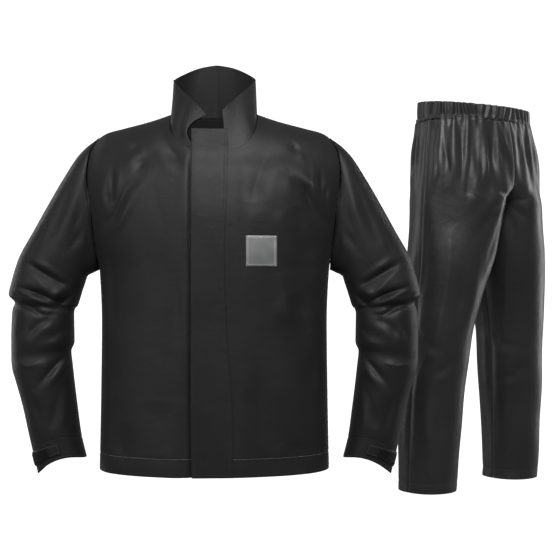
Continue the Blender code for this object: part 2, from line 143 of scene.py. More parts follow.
# Rings of the sleeve, each between its outer and its inner edge. The lift moves its front and back.
SLEEVE = table(
    "outer_x outer_z inner_x inner_z depth lift_x lift_z",
    [
        (0.2502, -0.0508, 0.2480, -0.3350, 0.050, 0.020, 0.000),
        (0.2723, -0.0662, 0.2550, -0.3380, 0.057, 0.014, 0.000),
        (0.2945, -0.0883, 0.2630, -0.3420, 0.063, 0.009, 0.000),
        (0.3305, -0.1437, 0.2710, -0.3455, 0.067, 0.004, 0.000),
        (0.3609, -0.1962, 0.2770, -0.3500, 0.069, 0.000, 0.000),
        (0.3915, -0.2515, 0.2820, -0.3650, 0.070, 0.000, 0.000),
        (0.4247, -0.3125, 0.2870, -0.3800, 0.066, 0.000, 0.000),
        (0.4390, -0.3600, 0.2920, -0.3960, 0.073, 0.000, 0.000),
        (0.4455, -0.3884, 0.2980, -0.4140, 0.066, 0.000, 0.000),
        (0.4327, -0.4069, 0.3040, -0.4210, 0.057, 0.000, 0.000),
        (0.4375, -0.4234, 0.3060, -0.4330, 0.067, 0.000, 0.000),
        (0.4401, -0.4839, 0.3050, -0.4900, 0.069, 0.000, 0.000),
        (0.4401, -0.5250, 0.3118, -0.5126, 0.062, 0.000, 0.000),
        (0.4380, -0.5480, 0.3090, -0.5400, 0.066, 0.000, 0.000),
        (0.4312, -0.5731, 0.3038, -0.5859, 0.063, 0.000, 0.000),
        (0.4151, -0.6304, 0.2970, -0.6400, 0.059, 0.000, 0.000),
        (0.4008, -0.6972, 0.2900, -0.6920, 0.056, 0.000, 0.008),
        (0.3824, -0.7769, 0.2784, -0.7410, 0.052, 0.000, 0.018),
    ],
)

# From the centre back round to the front end: the rim, and how far the wall's middle is drawn back.
COLLAR_RIM = table(
    "turn x y z curl",
    [
        (0.00, 0.0000, 0.082, 0.123, 0.000),
        (0.14, 0.0300, 0.079, 0.117, 0.000),
        (0.28, 0.0645, 0.058, 0.101, 0.000),
        (0.42, 0.0880, 0.020, 0.0806, 0.000),
        (0.50, 0.0890, -0.008, 0.074, 0.000),
        (0.62, 0.0730, -0.034, 0.054, 0.000),
        (0.74, 0.0540, -0.054, 0.034, 0.000),
        (0.87, 0.0330, -0.070, 0.012, 0.040),
        (1.00, 0.0125, -0.078, -0.011, 0.086),
    ],
)

COLLAR_TIP = {"right": (0.0, 0.0), "left": (0.0075, 0.010)}
COLLAR_CURL = {"right": 1.0, "left": 0.0}

FLAP = table(
    "z right_edge left_edge",
    [
        (-0.764, -0.038, 0.047),
        (-0.600, -0.040, 0.043),
        (-0.500, -0.040, 0.034),
        (-0.300, -0.040, 0.027),
        (-0.150, -0.041, 0.032),
        (-0.030, -0.044, 0.032),
    ],
)

# Sections of the trousers. The fork is 0 where both legs share one section and 1 where they part. The
# skew moves a section's fullest place towards the inner edge.
LEG = table(
    "z side inner fork front back shift skew",
    [
        (0.020, 0.1660, 0.0000, 0.00, 0.105, 0.113, 0.009, 0.00),
        (-0.020, 0.1745, 0.0000, 0.02, 0.109, 0.119, 0.005, 0.00),
        (-0.060, 0.1815, 0.0000, 0.10, 0.112, 0.124, 0.002, 0.03),
        (-0.100, 0.1870, 0.0000, 0.30, 0.114, 0.127, 0.000, 0.12),
        (-0.135, 0.1915, 0.0000, 0.58, 0.115, 0.128, 0.000, 0.26),
        (-0.155, 0.1935, 0.0000, 0.84, 0.114, 0.128, 0.000, 0.36),
        (-0.168, 0.1950, 0.0004, 1.00, 0.114, 0.127, 0.000, 0.42),
        (-0.215, 0.1990, 0.0010, 1.00, 0.110, 0.121, 0.000, 0.36),
        (-0.286, 0.2040, 0.0080, 1.00, 0.103, 0.111, -0.002, 0.22),
        (-0.400, 0.2090, 0.0365, 1.00, 0.091, 0.096, 0.004, 0.06),
        (-0.492, 0.2140, 0.0580, 1.00, 0.083, 0.086, 0.009, 0.00),
        (-0.607, 0.2180, 0.0705, 1.00, 0.077, 0.079, 0.015, 0.00),
        (-0.722, 0.2200, 0.0800, 1.00, 0.073, 0.073, 0.020, 0.00),
        (-0.855, 0.2190, 0.0880, 1.00, 0.068, 0.068, 0.025, 0.00),
    ],
)

# How deep the long gathers under the waistband are at each height, and how unlike each other they are,
# from the side seam to the centre.
GATHER = table(
    "z depth",
    [
        (0.020, 0.0015),
        (-0.020, 0.0060),
        (-0.060, 0.0075),
        (-0.110, 0.0045),
        (-0.150, 0.0012),
        (-0.200, 0.0000),
        (-0.855, 0.0000),
    ],
)

GATHER_STRENGTH = {"front": (0.9, 0.6, 1.1, 0.8, 1.2, 0.5), "back": (0.7, 1.0, 0.8, 1.1, 0.7, 0.9)}

# Points inside each hollow. The wall is built on their side.
IN_TORSO = np.array([0, 0, -0.400])

IN_SLEEVE = np.array([0.340, 0, -0.400])
IN_CUFF = np.array([0.340, 0, -0.740])
IN_COLLAR = np.array([0, 0, 0.020])
IN_LEG = np.array([0.120, 0, -0.400])

# Creases, each given as a line in front view, its width, its depth (under 0 it is a ridge), and the
# side on which the cloth stands up beside it
FRONT_CREASES = [
    ([(-0.2349, -0.2463), (-0.2059, -0.2277), (-0.1894, -0.1946), (-0.1729, -0.1636), (-0.1501, -0.1429)], 0.01, 0.0085, 1),
    ([(-0.2184, -0.1595), (-0.2184, -0.1967)], 0.006, 0.0051, 1),
    ([(-0.2101, -0.114), (-0.208, -0.205)], 0.007, 0.0059, -1),
    ([(-0.1708, -0.0829), (-0.1542, -0.0747)], 0.011, 0.0043, 1),
    ([(-0.1646, -0.1388), (-0.1356, -0.1016)], 0.013, 0.0051, -1),
    ([(-0.2287, -0.2711), (-0.2122, -0.3208), (-0.2059, -0.4407), (-0.2101, -0.5483)], 0.026, 0.0076, 1),
    ([(-0.1274, -0.1429), (-0.0943, -0.2587), (-0.0653, -0.4118), (-0.0529, -0.5069)], 0.03, 0.0051, 1),
    ([(-0.1811, -0.6475), (-0.1873, -0.6992), (-0.177, -0.7509)], 0.022, 0.0051, 1),
    ([(-0.1067, -0.6062), (-0.0943, -0.7137)], 0.028, 0.0041, -1),
    ([(-0.1067, -0.0436), (-0.0819, -0.0891), (-0.057, -0.1222)], 0.014, 0.0051, 1),
    ([(0.1601, -0.1408), (0.1932, -0.1739), (0.2097, -0.2091), (0.2242, -0.2298), (0.2511, -0.2463)], 0.011, 0.0093, -1),
    ([(0.1746, -0.2029), (0.187, -0.2587), (0.2077, -0.3208)], 0.019, 0.0085, 1),
    ([(0.1374, -0.3353), (0.1518, -0.3952), (0.1684, -0.4614)], 0.014, -0.0059, 0),
    ([(0.1684, -0.3828), (0.187, -0.4283), (0.2015, -0.4738)], 0.018, 0.0085, 1),
    ([(0.2201, -0.3828), (0.2325, -0.4159), (0.2366, -0.4531)], 0.012, 0.0068, 1),
    ([(0.2263, -0.1202), (0.2284, -0.205)], 0.007, 0.0051, 1),
    ([(0.2387, -0.1636), (0.2366, -0.2091)], 0.005, 0.0043, -1),
    ([(0.1622, -0.0891), (0.1808, -0.0747)], 0.011, 0.0043, 1),
    ([(0.216, -0.4904), (0.2056, -0.5731), (0.1973, -0.6599)], 0.028, 0.0068, -1),
    ([(0.1167, -0.0891), (0.096, -0.1429), (0.0836, -0.2008)], 0.016, 0.0051, -1),
    ([(0.1043, -0.5028), (0.096, -0.6062), (0.1043, -0.7137)], 0.028, 0.0044, 1),
    ([(0.1746, -0.6889), (0.1808, -0.7551)], 0.018, 0.0048, 1),
]

# The same on the back
BACK_CREASES = [
    ([(0.24, -0.318), (0.205, -0.262), (0.168, -0.205), (0.132, -0.172)], 0.012, 0.005, -1),
    ([(-0.238, -0.322), (-0.196, -0.255), (-0.15, -0.206)], 0.013, 0.005, 1),
    ([(0.216, -0.15), (0.211, -0.245)], 0.008, 0.003, 1),
    ([(-0.214, -0.146), (-0.219, -0.232)], 0.008, 0.003, -1),
    ([(-0.23, -0.19), (-0.226, -0.262)], 0.006, 0.0025, 1),
    ([(0.1, -0.25), (0.084, -0.4), (0.066, -0.59)], 0.032, 0.0045, 1),
    ([(-0.088, -0.22), (-0.11, -0.42), (-0.084, -0.64)], 0.032, 0.0045, -1),
    ([(0.184, -0.4), (0.14, -0.54), (0.152, -0.7)], 0.022, 0.0035, 1),
    ([(-0.172, -0.39), (-0.152, -0.56), (-0.16, -0.712)], 0.024, 0.0035, 1),
    ([(0.012, -0.05), (-0.006, -0.21)], 0.026, -0.003, 0),
    ([(-0.066, -0.04), (-0.004, -0.064), (0.06, -0.044)], 0.012, 0.0025, 1),
    ([(0.164, -0.104), (0.112, -0.142), (0.052, -0.15)], 0.014, 0.0028, 1),
    ([(-0.158, -0.108), (-0.108, -0.15), (-0.06, -0.156)], 0.014, 0.0028, -1),
    ([(0.03, -0.47), (0.036, -0.64), (0.02, -0.74)], 0.03, 0.003, -1),
    ([(0.222, -0.352), (0.196, -0.372), (0.15, -0.366)], 0.012, 0.003, 1),
    ([(-0.222, -0.36), (-0.19, -0.392), (-0.146, -0.398)], 0.012, 0.003, 1),
]

# The left sleeve's front, and after it the back. The right sleeve has them the other way round.
SLEEVE_CREASES = [
    ([(0.3983, -0.3199), (0.356, -0.3453), (0.3115, -0.3728)], 0.0072, 0.0112, 1),
    ([(0.3919, -0.3368), (0.3665, -0.3601), (0.3411, -0.3919)], 0.0059, -0.0045, 0),
    ([(0.4237, -0.3707), (0.3735, -0.3845), (0.3115, -0.4109)], 0.0072, 0.0128, -1),
    ([(0.4301, -0.3855), (0.3835, -0.3961)], 0.0051, 0.0067, 1),
    ([(0.284, -0.3792), (0.3094, -0.394), (0.3348, -0.4173)], 0.0093, 0.015, -1),
    ([(0.4004, -0.413), (0.3613, -0.431), (0.3306, -0.431)], 0.0064, 0.009, 1),
    ([(0.3898, -0.4723), (0.3687, -0.4511), (0.3433, -0.4406)], 0.0076, 0.009, -1),
    ([(0.3009, -0.5019), (0.3369, -0.54), (0.3729, -0.5866)], 0.0076, 0.0097, 1),
    ([(0.4216, -0.5337), (0.3919, -0.54), (0.3644, -0.5337)], 0.0051, -0.0045, 0),
    ([(0.2903, -0.1209), (0.3242, -0.2141), (0.3581, -0.2945)], 0.017, 0.006, 1),
    ([(0.2649, -0.1505), (0.2819, -0.2183), (0.3115, -0.286)], 0.011, 0.006, -1),
    ([(0.2544, -0.2141), (0.2776, -0.2522), (0.3052, -0.2945)], 0.0093, 0.006, 1),
    ([(0.3411, -0.2183), (0.3708, -0.2649), (0.4046, -0.3284)], 0.0136, 0.0045, -1),
    ([(0.2946, -0.4384), (0.3242, -0.4681), (0.3538, -0.485)], 0.0068, 0.0067, 1),
    ([(0.3242, -0.5866), (0.3369, -0.6332), (0.3454, -0.6798)], 0.0102, 0.0053, 1),
    ([(0.3877, -0.5951), (0.3708, -0.6417), (0.3623, -0.6882)], 0.0093, 0.0045, -1),
    ([(0.303, -0.6036), (0.3073, -0.6586)], 0.0076, 0.0037, 1),
    ([(0.4046, -0.4469), (0.4131, -0.485)], 0.0068, 0.0053, 1),
]

# The sleeve's back
SLEEVE_BACK_CREASES = [
    ([(0.33, -0.365), (0.372, -0.352), (0.42, -0.33)], 0.0076, 0.0105, 1),
    ([(0.318, -0.402), (0.372, -0.398), (0.436, -0.372)], 0.0072, 0.0128, -1),
    ([(0.312, -0.43), (0.36, -0.436), (0.424, -0.424)], 0.0072, 0.0105, 1),
    ([(0.322, -0.47), (0.372, -0.462), (0.41, -0.448)], 0.0076, 0.0067, -1),
    ([(0.3, -0.52), (0.35, -0.552), (0.4, -0.596)], 0.0093, 0.0083, -1),
    ([(0.29, -0.15), (0.318, -0.23), (0.356, -0.3)], 0.0161, 0.006, -1),
    ([(0.262, -0.24), (0.29, -0.29), (0.33, -0.322)], 0.0102, 0.0067, 1),
    ([(0.372, -0.23), (0.398, -0.3)], 0.0136, 0.0045, 1),
    ([(0.41, -0.48), (0.42, -0.54)], 0.0085, 0.0045, -1),
    ([(0.34, -0.62), (0.35, -0.7)], 0.011, 0.0053, 1),
    ([(0.386, -0.64), (0.378, -0.71)], 0.0093, 0.0045, -1),
]

# The trousers' side that the camera sees. The far side has them mirrored and moved.
TROUSER_CREASES = [
    ([(0.4507, 0.0102), (0.4507, -0.07), (0.4484, -0.1503)], 0.0075, -0.004, 0),
    ([(0.4979, 0.0008), (0.4908, -0.0464), (0.479, -0.0889)], 0.007, -0.0045, 0),
    ([(0.5003, 0.0008), (0.5097, -0.0747), (0.5239, -0.1644)], 0.007, -0.004, 0),
    ([(0.5428, 0.0126), (0.5428, -0.0511), (0.5404, -0.1267)], 0.011, -0.005, 0),
    ([(0.5777, 0.0102), (0.5711, -0.0747), (0.564, -0.1739)], 0.0065, -0.0035, 0),
    ([(0.59, 0.0079), (0.5829, -0.0795), (0.5711, -0.1692)], 0.0075, 0.006, 0),
    ([(0.6058, 0.0102), (0.6018, -0.1031), (0.5853, -0.1786)], 0.009, -0.0055, 0),
    ([(0.6237, 0.0079), (0.6183, -0.1031), (0.5805, -0.2022)], 0.0065, -0.003, 0),
    ([(0.6443, 0.0008), (0.6396, -0.0984), (0.6183, -0.181)], 0.008, 0.004, 1),
    ([(0.6622, 0.0055), (0.6702, -0.0323), (0.682, -0.07)], 0.006, -0.0035, 0),
    ([(0.6632, -0.0228), (0.6655, -0.1125)], 0.0065, 0.0035, 1),
    ([(0.6986, 0.0008), (0.7009, -0.07)], 0.005, -0.003, 0),
    ([(0.7127, 0.0055), (0.7174, -0.0464)], 0.005, -0.003, 0),
    ([(0.472, 0.0008), (0.4696, -0.0511), (0.4602, -0.1125)], 0.006, 0.0035, 1),
    ([(0.5192, 0.0055), (0.5239, -0.0511), (0.5357, -0.1125)], 0.006, 0.0035, -1),
    ([(0.6773, -0.1692), (0.6419, -0.2069), (0.5947, -0.2589)], 0.013, 0.005, 1),
    ([(0.6773, -0.1786), (0.6537, -0.24), (0.6277, -0.3155)], 0.012, 0.005, -1),
    ([(0.682, -0.1644), (0.708, -0.1928), (0.741, -0.2164)], 0.011, 0.004, -1),
    ([(0.6844, -0.1786), (0.7009, -0.2305), (0.7151, -0.2919)], 0.012, 0.004, 1),
    ([(0.5333, -0.2471), (0.531, -0.3202), (0.5192, -0.4099), (0.5026, -0.4831), (0.4814, -0.5327), (0.4625, -0.5846), (0.4507, -0.6389), (0.446, -0.705)], 0.008, -0.004, 0),
    ([(0.6301, -0.3651), (0.6254, -0.4359), (0.6183, -0.528)], 0.006, -0.003, 0),
    ([(0.6891, -0.2919), (0.6938, -0.4052), (0.6891, -0.5043), (0.682, -0.6176)], 0.008, -0.003, 0),
    ([(0.4814, -0.2353), (0.4767, -0.3155), (0.4625, -0.4052)], 0.017, 0.004, 1),
    ([(0.5664, -0.2919), (0.5593, -0.4052), (0.5381, -0.4996)], 0.016, 0.004, -1),
    ([(0.4436, -0.4571), (0.472, -0.4996), (0.5144, -0.5232)], 0.011, 0.0035, 1),
    ([(0.5428, -0.528), (0.5239, -0.561), (0.4908, -0.5799)], 0.01, 0.003, -1),
    ([(0.6537, -0.476), (0.6891, -0.5138), (0.7316, -0.5232)], 0.011, 0.0035, 1),
    ([(0.7458, -0.5657), (0.7127, -0.594), (0.6797, -0.6035)], 0.01, 0.003, -1),
    ([(0.5144, -0.6035), (0.5097, -0.6885), (0.5192, -0.7876)], 0.014, 0.0035, 1),
    ([(0.4672, -0.7357), (0.472, -0.8348)], 0.01, 0.0025, -1),
    ([(0.6608, -0.6413), (0.6561, -0.7357), (0.6655, -0.8159)], 0.013, 0.003, 1),
    ([(0.7222, -0.6507), (0.7269, -0.7451), (0.7174, -0.8112)], 0.012, 0.003, -1),
]


def smooth(x, xs, ys):
    """A curve through the points, with no overshoot between them."""
    order = np.argsort(xs)
    xs, ys = xs[order], ys[order]
    step = np.diff(xs)
    rise = np.diff(ys) / step
    slope = np.concatenate([rise[:1], np.zeros(len(xs) - 2), rise[-1:]])
    same = rise[:-1] * rise[1:] > 0
    mean = 2 * rise[:-1] * rise[1:] / np.where(same, rise[:-1] + rise[1:], 1)
    slope[1:-1] = np.where(same, mean, 0)
    x = np.clip(x, xs[0], xs[-1])
    i = np.clip(np.searchsorted(xs, x) - 1, 0, len(step) - 1)
    t = (x - xs[i]) / step[i]
    ends = ys[i] * (1 + 2 * t) * (1 - t) ** 2 + ys[i + 1] * t**2 * (3 - 2 * t)
    return ends + step[i] * (slope[i] * t * (1 - t) ** 2 - slope[i + 1] * t**2 * (1 - t))


def read(columns, key, name, x):
    return smooth(x, columns[key], columns[name])


def ease(t):
    t = np.clip(t, 0, 1)
    return t * t * (3 - 2 * t)


def half_round(share, squareness):
    """A quarter of a rounded square, from the middle of its front (0) to its side (1)."""
    angle = share * math.pi / 2
    power = 2 / squareness
    return np.sin(angle) ** power, np.maximum(np.cos(angle), 0) ** power


def torso_depth(x, z, face):
    """How far the torso's front or back lies from the plane of its side seams."""
    across = np.abs(x) / read(TORSO, "z", "half_width", z)
    side = np.maximum(0, 1 - across**SQUARENESS) ** (1 / SQUARENESS)
    below = np.clip((read(SHOULDER, "x", "z", np.abs(x)) - z) / SHOULDER_DROP, 0, 1)
    return read(TORSO, "z", face, z) * side * np.sqrt(1 - (1 - below) ** 3)


def side_x(z):
    """The panel's outer edge: the side seam, and above the armpit the armhole."""
    seam = read(TORSO, "z", "half_width", z)
    return np.where(z <= ARMPIT_Z, seam, read(ARMHOLE, "z", "x", z))


def neckline(share, face):
    """The neckline in front view, from the centre (0) to the side-neck point (1)."""
    depth = {"front": NECK_FRONT_Z, "back": NECK_BACK_Z}[face]
    across, down = half_round(share, NECK_SQUARENESS)
    return NECK_HALF_WIDTH * across, depth * down


def armhole_z(theta):
    """The armhole's height, from the shoulder tip (0) to the armpit (pi)."""
    middle = (SHOULDER_TIP_Z + ARMPIT_Z) / 2
    return middle + (SHOULDER_TIP_Z - middle) * np.cos(theta)


def armhole_ring(theta):
    """The armhole, from the shoulder tip (0) down the front to the armpit (pi) and up the back."""
    z = armhole_z(theta)
    x = read(ARMHOLE, "z", "x", z)
    front = torso_depth(x, z, "front")
    back = torso_depth(x, z, "back")
    return np.stack([x + 1.5 * SEAM, np.where(np.sin(theta) >= 0, -front, back), z], axis=-1)


def to_room(local):
    """Turns the trousers about Z and stands them in their place."""
    x, y, z = np.moveaxis(local, -1, 0)
    cos, sin = math.cos(TURN), math.sin(TURN)
    return np.stack([TROUSERS_X + x * cos - y * sin, TROUSERS_Y + x * sin + y * cos, z], axis=-1)


def gathered(share, strengths):
    """Waves that start and end on a ridge: 0 on the ridges, and the wave's own strength in its valley."""
    count = len(strengths)
    strength = np.array(strengths)[np.clip((share * count).astype(int), 0, count - 1)]
    return strength * (1 - np.cos(2 * math.pi * count * share)) / 2


def leg_point(share, z, face):
    """A point of the left leg's front or back: share runs from the side seam to the inner edge."""
    section = {name: read(LEG, "z", name, z) for name in LEG if name != "z"}
    radius = (section["side"] - section["inner"]) / (1 + section["fork"])
    middle = section["side"] - radius
    angle = share * np.arccos(np.clip(-section["fork"], -1, 1))
    gather = read(GATHER, "z", "depth", z) * gathered(share, GATHER_STRENGTH[face])
    x = middle + (radius - gather) * np.cos(angle)
    full = np.maximum(np.sin(angle), 0) ** LEG_ROUNDNESS * (1 - section["skew"] * np.cos(angle))
    y = (section[face] - gather) * full + SEAM / 2
    x = np.maximum(x, SEAM / 2)
    return np.stack([x, section["shift"] + (-y if face == "front" else y), z], axis=-1)


# Relief


def relief(x, z, creases):
    """How far the listed creases raise or lower the cloth at a place in front view."""
    height = 0 * (x + z)
    for number, (line, width, depth, lean) in enumerate(creases):
        line = np.array(line)
        ends = list(zip(line[:-1], line[1:]))
        total = sum(math.dist(a, b) for a, b in ends)
        nearest, side, along, run = height * 0 + 9, height * 0, height * 0, 0.0
        for a, b in ends:
            length = math.dist(a, b)
            dx, dz = (b - a) / length
            t = np.clip((x - a[0]) * dx + (z - a[1]) * dz, 0, length)
            away_x, away_z = x - a[0] - t * dx, z - a[1] - t * dz
            away = np.hypot(away_x, away_z)
            closer = away < nearest
            nearest = np.where(closer, away, nearest)
            side = np.where(closer, away_x * dz - away_z * dx, side)
            along = np.where(closer, (run + t) / total, along)
            run += length
        uneven = 0.85 + 0.25 * np.sin(7 * along + 2.4 * number)
        fade = np.sin(math.pi * np.clip(along, 0.03, 0.97)) ** 0.7 * uneven
        offset = np.copysign(nearest, side)
        trough = np.exp(-(np.abs(offset / width) ** 1.3))
        lip = 0.5 * abs(lean) * np.exp(-(((offset - 1.9 * lean * width) / width) ** 2))
        height = height - depth * fade * (trough - lip)
    return height


def sway(x, z, seed, low=12, high=60, size=0.020):
    """Slow unevenness of cloth that hangs free."""
    random = np.random.default_rng(seed)
    height = 0 * (x + z)
    for _ in range(12):
        angle, wave, phase = random.uniform(0, math.pi), random.uniform(low, high), random.uniform(0, 6.3)
        height = height + np.sin(wave * (x * math.cos(angle) + 0.7 * z * math.sin(angle)) + phase) / wave
    return size * height


def outward(grid, inside, wrap=False):
    """Unit normals of a grid, pointing away from the point inside."""
    across = np.gradient(grid, axis=1)
    if wrap:
        across = (np.roll(grid, -1, axis=1) - np.roll(grid, 1, axis=1)) / 2
    normal = np.cross(np.gradient(grid, axis=0), across)
    normal = normal / np.maximum(np.linalg.norm(normal, axis=-1, keepdims=True), 1e-12)
    return normal if (normal * (grid - inside)).sum() > 0 else -normal


def turned(grid, border):
    """The grid with the named border as its first row. Rows run bottom to top and columns left to right."""
    if border in ("left", "right"):
        grid = np.swapaxes(grid, 0, 1)
    return grid[::-1] if border in ("top", "right") else grid


def distance_in(grid, border):
    """Each point's distance from a border, measured along the cloth."""
    rows = turned(grid, border)
    steps = np.linalg.norm(np.diff(rows, axis=0), axis=-1)
    run = np.concatenate([np.zeros((1, rows.shape[1])), np.cumsum(steps, axis=0)])
    return turned(run, border) if border in ("top", "bottom") else np.swapaxes(run[::-1] if border == "right" else run, 0, 1)


def press(grid, normals, border, inset=0.0, depth=0.0010, width=0.0022, pucker=0.0):
    """Draws the cloth in along a seam, with small puckers beside it."""
    away = distance_in(grid, border) - inset
    other = distance_in(grid, "left" if border in ("top", "bottom") else "bottom")
    drawn = depth * np.exp(-((away / width) ** 2))
    ripple = np.sin(other / 0.0021 + 2 * np.sin(other / 0.017)) * np.sin(other / 0.009)
    drawn = drawn + pucker * ripple * np.exp(-((away / (3.5 * width)) ** 2))
    return grid - drawn[..., None] * normals


def fine(count, edge=0.002):
    """Even stops from 0 to 1, closer beside the ends."""
    near = edge * np.arange(1, 5)
    return np.unique(np.concatenate([np.linspace(0, 1, count), near, 1 - near]))


# Jacket

FLAP_DENT = 0.0065


def torso_relief(x, z, face):
    """The creases on the body, none of them under the flap or at a seam. x is signed."""
    if face == "back":
        clear = 1.0
        height = relief(x, z, BACK_CREASES) + sway(x, z, 5)
    else:
        clear = ease((np.abs(x) - 0.048) / 0.030)
        height = relief(x, z, FRONT_CREASES) + sway(x, z, 3)
    neck_z = {"front": NECK_FRONT_Z, "back": NECK_BACK_Z}[face]
    top = np.minimum(read(SHOULDER, "x", "z", np.abs(x)), np.where(np.abs(x) < NECK_HALF_WIDTH, 0.004, 1)) - z
    seams = ease((side_x(z) - np.abs(x)) / 0.030) * ease(top / 0.035)
    if face == "front":
        round_neck = (np.abs(x / NECK_HALF_WIDTH) ** NECK_SQUARENESS + np.abs(z / neck_z) ** NECK_SQUARENESS)
        seams = seams * ease((round_neck ** (1 / NECK_SQUARENESS) - 1) * NECK_HALF_WIDTH / 0.030)
    return height * clear * seams


def front_y(x, z, lean):
    """The front's face. Above the neckline it leans back with the collar."""
    neck = np.minimum(z, NECK_FRONT_Z)
    depth = torso_depth(x, neck, "front") + torso_relief(x, neck, "front")
    return -depth - SEAM / 2 + lean * (z - neck)


def torso_half(u, v, face, sign):
    """Half of the front or back: u runs from the centre to the side, v from the hem to the top."""
    u, v = np.meshgrid(u, v)
    neck_z = {"front": NECK_FRONT_Z, "back": NECK_BACK_Z}[face]
    centre = np.stack([0 * v, HEM_Z + v * (neck_z - HEM_Z)])
    side_z = HEM_Z + v * (SHOULDER_TIP_Z - HEM_Z)
    side = np.stack([side_x(side_z), side_z])
    hem_x = float(side_x(HEM_Z))
    hem = np.stack([hem_x * np.sin(u * math.pi / 2), 0 * u + HEM_Z])
    neck = np.stack(neckline(np.clip(u / NECK_SHARE, 0, 1), face))
    along = np.clip((u - NECK_SHARE) / (1 - NECK_SHARE), 0, 1)
    shoulder_x = NECK_HALF_WIDTH + along * (SHOULDER_TIP_X - NECK_HALF_WIDTH)
    shoulder = np.stack([shoulder_x, read(SHOULDER, "x", "z", shoulder_x)])
    top = np.where(u <= NECK_SHARE, neck, shoulder)
    corners = [(0, HEM_Z), (hem_x, HEM_Z), (0, neck_z), (SHOULDER_TIP_X, SHOULDER_TIP_Z)]
    weights = [(1 - u) * (1 - v), u * (1 - v), (1 - u) * v, u * v]
    middle = sum(w * np.array(c)[:, None, None] for w, c in zip(weights, corners))
    x, z = (1 - u) * centre + u * side + (1 - v) * hem + v * top - middle
    depth = torso_depth(x, z, face) + SEAM / 2 + torso_relief(sign * x, z, face)
    if face == "front" and sign < 0:
        past = (x + read(FLAP, "z", "right_edge", z) - 0.0012) / 0.0050
        depth = depth - FLAP_DENT * np.exp(-(past**2)) * ease((NECK_FRONT_Z - z) / 0.03)
    return np.stack([sign * x, -depth if face == "front" else depth, z], axis=-1)


def sleeve_point(row, theta, sign=1, lift=0.0):
    """A point of the left sleeve: row counts down the rings, theta turns from the outer edge to the front."""
    rings = np.arange(len(SLEEVE["depth"]), dtype=float)
    ring = {name: smooth(row, rings, column) for name, column in SLEEVE.items()}
    across = (1 + np.cos(theta)) / 2
    bow = np.sin(theta) ** 2
    x = ring["inner_x"] + across * (ring["outer_x"] - ring["inner_x"]) + bow * ring["lift_x"]
    z = ring["inner_z"] + across * (ring["outer_z"] - ring["inner_z"]) + bow * ring["lift_z"]
    front = np.sin(theta) >= 0
    creases = np.where(front, relief(x, z, SLEEVE_CREASES), relief(x, z, SLEEVE_BACK_CREASES))
    ends = ease((row - 0.6) / 2.0) * ease((16.4 - row) / 0.8)
    height = creases * ease(np.abs(np.sin(theta)) / 0.45) * ends + sway(x + (0.3 * sign), z, 11) * ends
    depth = ring["depth"] + height + lift
    outer = lift * np.cos(theta)
    oval = np.stack([x + outer, -depth * np.sin(theta), z], axis=-1)
    start = ease(row)[..., None]
    return (1 - start) * armhole_ring(theta) + start * oval


def sleeve_patch(rows, thetas, lift, sign=1):
    """A grid on the sleeve, moved out by lift."""
    row, theta = np.meshgrid(rows, thetas, indexing="ij")
    step = 0.02
    point = sleeve_point(row, theta, sign)
    down = sleeve_point(row + step, theta, sign) - sleeve_point(row - step, theta, sign)
    round_it = sleeve_point(row, theta + step, sign) - sleeve_point(row, theta - step, sign)
    normal = np.cross(down, round_it)
    return point - lift * normal / np.linalg.norm(normal, axis=-1, keepdims=True)


def collar_half(side, heights, steps):
    """Half of the collar, from the centre back round to its front end."""
    turns = np.linspace(0, 1, 2 * steps)
    behind = turns <= 0.5
    share = np.where(behind, 2 * turns, 1 - (2 * turns - 1) * 0.875)
    back_x, back_z = neckline(share, "back")
    front_x, front_z = neckline(share, "front")
    base_x = np.where(behind, back_x, front_x)
    base_z = np.where(behind, back_z, front_z)
    base_y = np.where(behind, torso_depth(back_x, back_z, "back"), -torso_depth(front_x, front_z, "front"))
    base = np.stack([base_x * (1 - 1.5 * SEAM / NECK_HALF_WIDTH), base_y, base_z + 1.2 * SEAM], axis=-1)
    level = np.sqrt(turns**2 + 0.04**2) - 0.04 * (1 - turns) ** 4
    rim = np.stack([read(COLLAR_RIM, "turn", *at) for at in (("x", turns), ("y", level), ("z", level))], axis=-1)
    near_end = ease((turns - COLLAR_END_FROM) / (1 - COLLAR_END_FROM))
    tip_x, tip_z = COLLAR_TIP[side]
    rim += np.stack([tip_x * near_end, 0 * turns, tip_z * near_end], axis=-1)
    h = heights[:, None]
    base = base * (0.988, 0.988, 1) - (0, 0, 0.0035)
    wall = base * (1 - h[..., None]) + rim * h[..., None]
    wall[..., 0] += COLLAR_CURL[side] * read(COLLAR_RIM, "turn", "curl", turns) * (h - h**3)
    wave = np.sin(turns * 19 + 1.7 * len(side)) * np.sin(h * math.pi) ** 0.8 * 0.0011 * ease(turns / 0.2)
    wall[..., 1] += wave * np.cos(turns * math.pi)
    wall[..., 0] += wave * np.sin(turns * math.pi)
    return wall


def on_front(x, z, lift, lean=FLAP_LEAN):
    """Points on the front's face, moved out by lift."""
    step = 0.001
    slope_x = (front_y(x + step, z, lean) - front_y(x - step, z, lean)) / (2 * step)
    slope_z = (front_y(x, z + step, lean) - front_y(x, z - step, lean)) / (2 * step)
    size = np.sqrt(1 + slope_x**2 + slope_z**2)
    face = np.stack([x, front_y(x, z, lean), z], axis=-1)
    return face + np.asarray(lift)[..., None] * np.stack([slope_x / size, -1 / size, slope_z / size], axis=-1)


# Trousers


